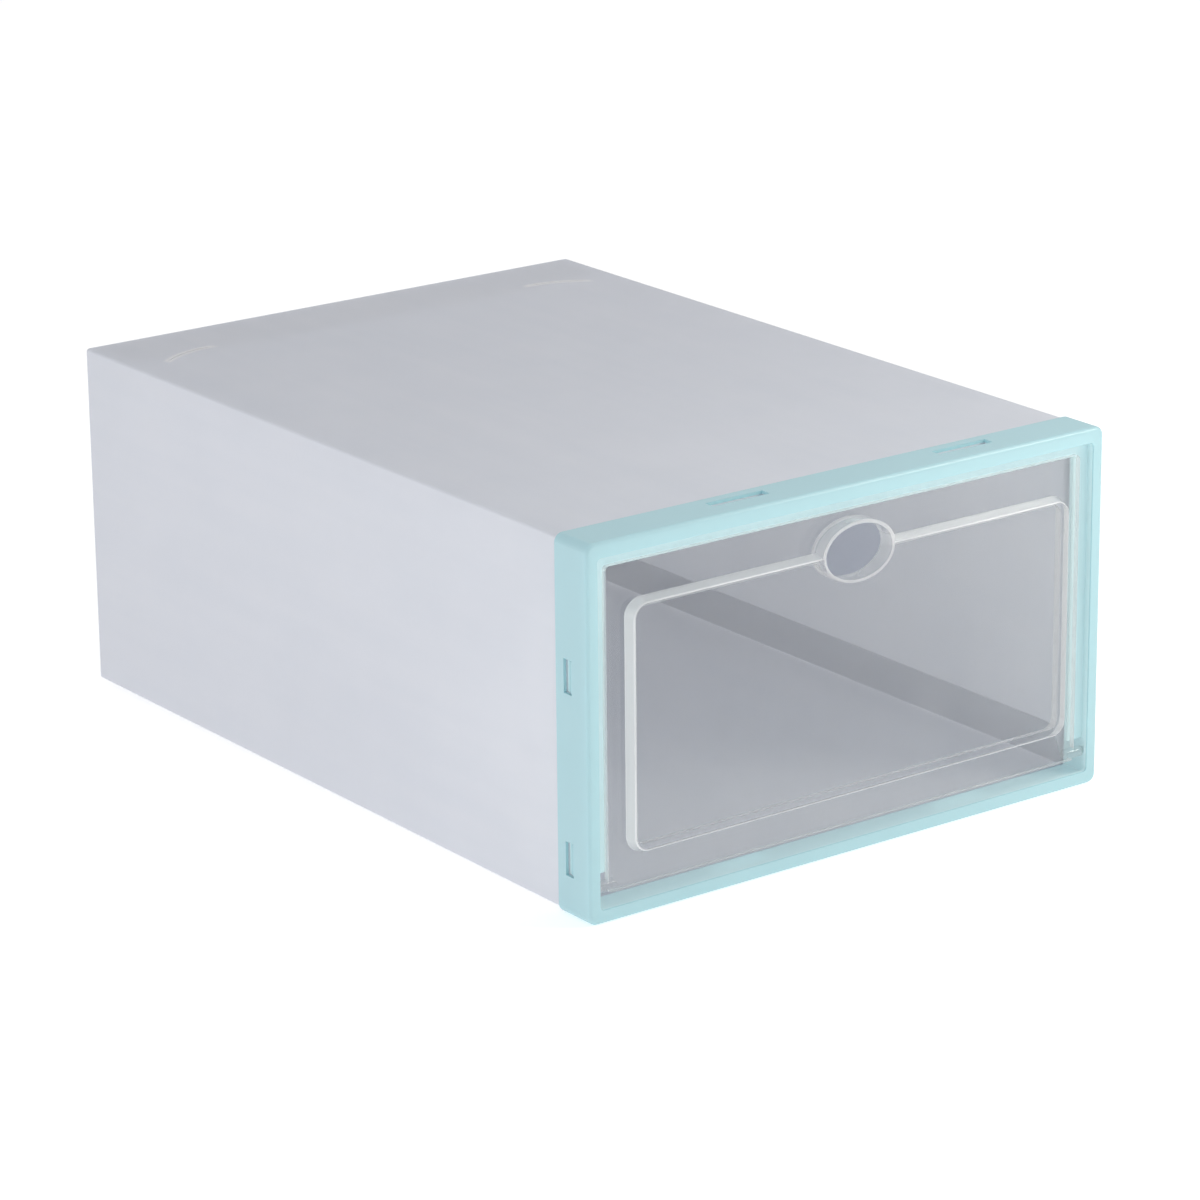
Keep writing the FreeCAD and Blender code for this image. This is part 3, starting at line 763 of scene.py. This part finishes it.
def door_stop():
    """The lip on the sides and the top of the tongue that the closed door rests on."""
    side = HALF_WIDTH - GAUGE - TONGUE_GAP - TONGUE_WALL / 2
    top = ROOF - GAUGE - TONGUE_GAP - TONGUE_WALL / 2
    inner_side, inner_top = DOOR_HALF - STOP_LAP, DOOR_HIGH - STOP_LAP
    toe, bend = 0.6, 1.5
    corners = [(-side, STOP_FOOT), (-inner_side, STOP_FOOT), (-inner_side, inner_top),
               (inner_side, inner_top), (inner_side, STOP_FOOT), (side, STOP_FOOT),
               (side, top), (-side, top)]
    return plate("door_stop", rounded(corners, [0, toe, bend, bend, toe, 0, 0, 0]),
                 lambda p, h: (p.x, STOP_FRONT + STOP_WALL / 2 + h, p.y), STOP_WALL, edge=0.25)


def in_glow_painted_wall(corner):
    """True inside the skirt and behind the bezel's face, where the frame's walls are thin and in shade;
    these faces get the paler plastic with a painted glow.
    """
    return corner.y > GLOW_PAINT_FROM and abs(corner.x) < HALF_WIDTH and GLOW_PAINT_LOW < corner.z < GLOW_PAINT_HIGH


def front_frame():
    """The moulding with its windows, reliefs and pivot bores cut, and its barbs and stop joined."""
    shell = frame_shell()
    near, far = WINDOW_FRONT, WINDOW_BACK
    lap = SKIRT_WALL + CUTTER_LAP
    cuts, barbs = [], []
    for side in (-1, 1):
        edges = sorted((side * (FRAME_SIDE - lap), side * (FRAME_SIDE + CUTTER_PAST)))
        for place, length in SIDE_WINDOWS:
            low, high = place - length / 2, place + length / 2
            cuts.append(block("cut", (edges[0], near, low), (edges[1], far, high)))
            barbs.append(barb("barb", False, place, length, SIDE_BARB, side))
        levels = (FRAME_TOP - lap, FRAME_TOP + CUTTER_PAST)
        if side < 0:
            levels = (FRAME_BOTTOM - CUTTER_PAST, FRAME_BOTTOM + lap)
        for place, length in FLAT_WINDOWS:
            low, high = place - length / 2, place + length / 2
            cuts.append(block("cut", (low, near, levels[0]), (high, far, levels[1])))
            barbs.append(barb("barb", True, place, length, FLAT_BARB, side))
        wall = sorted((side * (HALF_WIDTH - 4.0), side * (HALF_WIDTH - GAUGE)))
        relief_front = TONGUE_BACK - TONGUE_RELIEF["depth"]
        cuts.append(block("cut", (wall[0], relief_front, TONGUE_RELIEF["low"]),
                          (wall[1], TONGUE_BACK + CUTTER_PAST, TONGUE_RELIEF["high"])))
        cuts.append(loft("cut", [circle_ring(x, PIVOT_BORE, PIVOT_BACK, PIVOT_UP) for x in wall]))
    combine(shell, "DIFFERENCE", cuts)
    combine(shell, "UNION", barbs + [door_stop()])
    even_normals(smooth(shell))
    finish_piece(shell, "box", [AQUA, AQUA_PAINTED_GLOW], ["front_frame"])
    # the faces inside the skirt and behind the bezel get the paler plastic with its painted glow, in
    # place of their shade
    paint(shell, 1, in_glow_painted_wall)


# ---- the door ----


def raise_ring(back, drawn_in, trimmed):
    """A ring of the raised panel, drawn in from its foot, with its corners trimmed."""
    return rect_ring(back, *inset(RAISE, drawn_in), RAISE["corner"] - trimmed)


def door_shell():
    """The plate with its raised panel, hollow behind, as one closed skin."""
    front, back = DOOR_FRONT, DOOR_FRONT + DOOR_WALL
    plate_rect = {"half": DOOR_HALF, "low": DOOR_LOW, "high": DOOR_HIGH}
    face = front - RAISE_HEIGHT
    rings = []
    for degrees in (0, 30, 60, 84):
        turn = math.radians(degrees)
        inward = RAISE_DRAFT + 0.1 + RAISE_ROUNDING * (1 - math.sin(turn))
        rings.append(raise_ring(face + RAISE_ROUNDING * (1 - math.cos(turn)), inward, inward))
    for depth, inward in ((front - 0.5, 0.1), (front - 0.15, -0.1), (front, -0.5)):
        rings.append(raise_ring(depth, inward, inward))
    rounding = [(0.0, DOOR_EDGE, 1.6), (EDGE_TURN, EDGE_TURN, 1.9), (DOOR_EDGE, 0.0, 2.0)]
    for step, inward, corner in rounding:
        rings.append(rect_ring(front + step, *inset(plate_rect, inward), corner))
    for step, inward, corner in reversed(rounding):
        rings.append(rect_ring(back - step, *inset(plate_rect, inward), corner))
    wall = 0.9 * DOOR_WALL
    foot = wall + RAISE_DRAFT
    deep = face + DOOR_WALL
    for depth, inward, trimmed in ((back, wall - 0.4, wall - 0.4), (back - 0.4, wall + 0.05, wall),
                                   (deep + 0.5, foot - 0.05, foot), (deep + 0.15, foot + 0.1, foot + 0.2),
                                   (deep, foot + 0.5, foot + 0.6)):
        rings.append(raise_ring(depth, inward, trimmed))
    return loft("door_moulding", rings)


def finger_collar():
    """The rim round the finger hole, from the plate's back to the raised panel's face."""
    front, back = DOOR_FRONT - RAISE_HEIGHT, DOOR_FRONT + DOOR_WALL
    wide, high = GRIP_HALF
    edge, turn, outer = DOOR_EDGE, EDGE_TURN, COLLAR_WALL
    profile = [(front + edge, outer), (front + turn, outer - turn), (front, outer - 0.5),
               (front, 0.5), (front + turn, turn), (front + edge, 0.0),
               (back - edge, 0.0), (back - turn, turn), (back, 0.5), (back, outer - 0.2)]
    rings = [ellipse_ring(depth, wide + out, high + out, GRIP_CENTRE) for depth, out in profile]
    return loft("collar", rings, closed=True)


def knuckle(side):
    """A knuckle at the foot of the door, stepped down to the pin that turns in the frame."""
    profile = [(107.6, 1.7), (108.0, 2.1), (108.3, KNUCKLE_RADIUS),
               (KNUCKLE_END - 0.4, KNUCKLE_RADIUS), (KNUCKLE_END - 0.1, 2.1), (KNUCKLE_END, 1.8),
               (KNUCKLE_END, PIN_RADIUS), (PIN_END - 0.3, PIN_RADIUS), (PIN_END, 1.1)]
    return loft("knuckle", [circle_ring(side * x, r, PIVOT_BACK, PIVOT_UP) for x, r in profile])


def in_collar(corner):
    wide, high = (half + COLLAR_WALL + 0.1 for half in GRIP_HALF)
    return math.hypot(corner.x / wide, (corner.z - GRIP_CENTRE) / high) < 1


def in_pin(corner):
    return abs(corner.x) > PIN_AREA["from"] and abs(corner.z - PIVOT_UP) < PIN_AREA["reach"]


def door():
    """The plate and raised panel, bored for the finger, with its collar and knuckles joined."""
    shell = door_shell()
    wide, high = (half + COLLAR_WALL / 2 for half in GRIP_HALF)
    hole = loft("hole", [ellipse_ring(depth, wide, high, GRIP_CENTRE) for depth in (-8.0, 9.0)])
    combine(shell, "DIFFERENCE", [hole])
    combine(shell, "UNION", [finger_collar(), knuckle(-1), knuckle(1)])
    even_normals(smooth(shell))
    finish_piece(shell, "door", [CLEAR, CLEAR_COLLAR, CLEAR_PIN], ["door"])
    # the collar and pins take their own shares of the painted highlight
    paint(shell, 1, in_collar)
    paint(shell, 2, in_pin)


# ---- the studio ----


SKY_COLOUR = (0.985, 0.985, 1.0, 1.0)
SKY_IN_FRONT, SKY_AROUND = 0.36, 0.69
WHITE, WARM_WHITE = (1.0, 1.0, 1.0), (1.0, 0.98, 0.90)
# name, place, aim and size in metres, power in watts, colour
LAMPS = (("key_top", (1.15, -0.3, 1.65), (0.0, -0.1, 0.1), (0.45, 0.45), 2.2, WHITE),
         ("near_right", (0.47, -0.56, 0.47), (0.10, -0.17, 0.09), (0.25, 0.25), 2.1, WARM_WHITE),
         ("fill_left", (-1.9, -0.2, 0.6), (0.0, 0.0, 0.07), (1.5, 1.0), 6.5, WHITE))

CAMERA_ANGLES = {"azimuth": -37.07, "elevation": 17.62, "roll": -0.39}
CAMERA_DISTANCE = 1.82816
CAMERA_TARGET = (0.0132, -0.02605, 0.0777)
CAMERA_LENS, SENSOR_WIDTH = 140.41, 36.0
CAMERA_SHIFT = (-0.03964, -0.03846)


def light_sky(tree):
    """An even pale surround, dimmer in front of the object than beside and above it."""
    background = tree.nodes["Background"]
    background.inputs["Color"].default_value = SKY_COLOUR
    direction = tree.nodes.new("ShaderNodeTexCoord").outputs["Generated"]
    parts = tree.nodes.new("ShaderNodeSeparateXYZ")
    tree.links.new(direction, parts.inputs[0])
    dimmed = tree.nodes.new("ShaderNodeMapRange")
    dimmed.inputs["From Min"].default_value = -1.0
    dimmed.inputs["From Max"].default_value = 0.0
    dimmed.inputs["To Min"].default_value = SKY_IN_FRONT
    dimmed.inputs["To Max"].default_value = SKY_AROUND
    tree.links.new(parts.outputs[1], dimmed.inputs["Value"])
    tree.links.new(dimmed.outputs[0], background.inputs["Strength"])


def floor_mesh():
    """A wide flat grid just under the object."""
    size = 30000.0
    steps = 12
    ground = FRAME_BOTTOM - 0.3
    points, faces = [], []
    for i in range(steps + 1):
        for j in range(steps + 1):
            points.append(((i / steps - 0.5) * size, (j / steps - 0.5) * size, ground))
    for i in range(steps):
        for j in range(steps):
            a = i * (steps + 1) + j
            faces.append((a, a + steps + 1, a + steps + 2, a + 1))
    return mesh_object("studio_floor", points, faces)


def studio():
    floor = floor_mesh()
    floor.data.materials.append(studio_floor())
    world = bpy.data.worlds.new("studio")
    bpy.context.scene.world = world
    world.use_nodes = True
    light_sky(world.node_tree)
    for name, place, aim, size, power, tint in LAMPS:
        light = bpy.data.lights.new(name, "AREA")
        light.shape = "RECTANGLE"
        light.size, light.size_y = size
        light.energy = power
        light.color = tint
        lamp = bpy.data.objects.new(name, light)
        lamp.location = place
        lamp.rotation_euler = (Vector(aim) - Vector(place)).to_track_quat("-Z", "Y").to_euler()
        bpy.context.scene.collection.objects.link(lamp)
    bpy.context.scene.view_settings.view_transform = "Standard"


def camera():
    """The product shot's camera, set by its direction, distance and field of view."""
    azimuth, elevation, roll = (math.radians(degrees) for degrees in CAMERA_ANGLES.values())
    back = Vector((math.sin(azimuth) * math.cos(elevation), -math.cos(azimuth) * math.cos(elevation),
                   math.sin(elevation)))
    right = Vector((math.cos(azimuth), math.sin(azimuth), 0.0))
    up = back.cross(right)
    tilted_right = math.cos(roll) * right + math.sin(roll) * up
    tilted_up = math.cos(roll) * up - math.sin(roll) * right
    data = bpy.data.cameras.new("camera")
    data.sensor_width = SENSOR_WIDTH
    data.lens = CAMERA_LENS
    data.shift_x, data.shift_y = CAMERA_SHIFT
    obj = bpy.data.objects.new("camera", data)
    axes = Matrix((tilted_right, tilted_up, back)).transposed().to_4x4()
    obj.matrix_world = Matrix.Translation(Vector(CAMERA_TARGET) + back * CAMERA_DISTANCE) @ axes
    bpy.context.scene.collection.objects.link(obj)
    bpy.context.scene.camera = obj


folded_sleeve()
rear_flaps()
seam()
front_frame()
door()
studio()
camera()
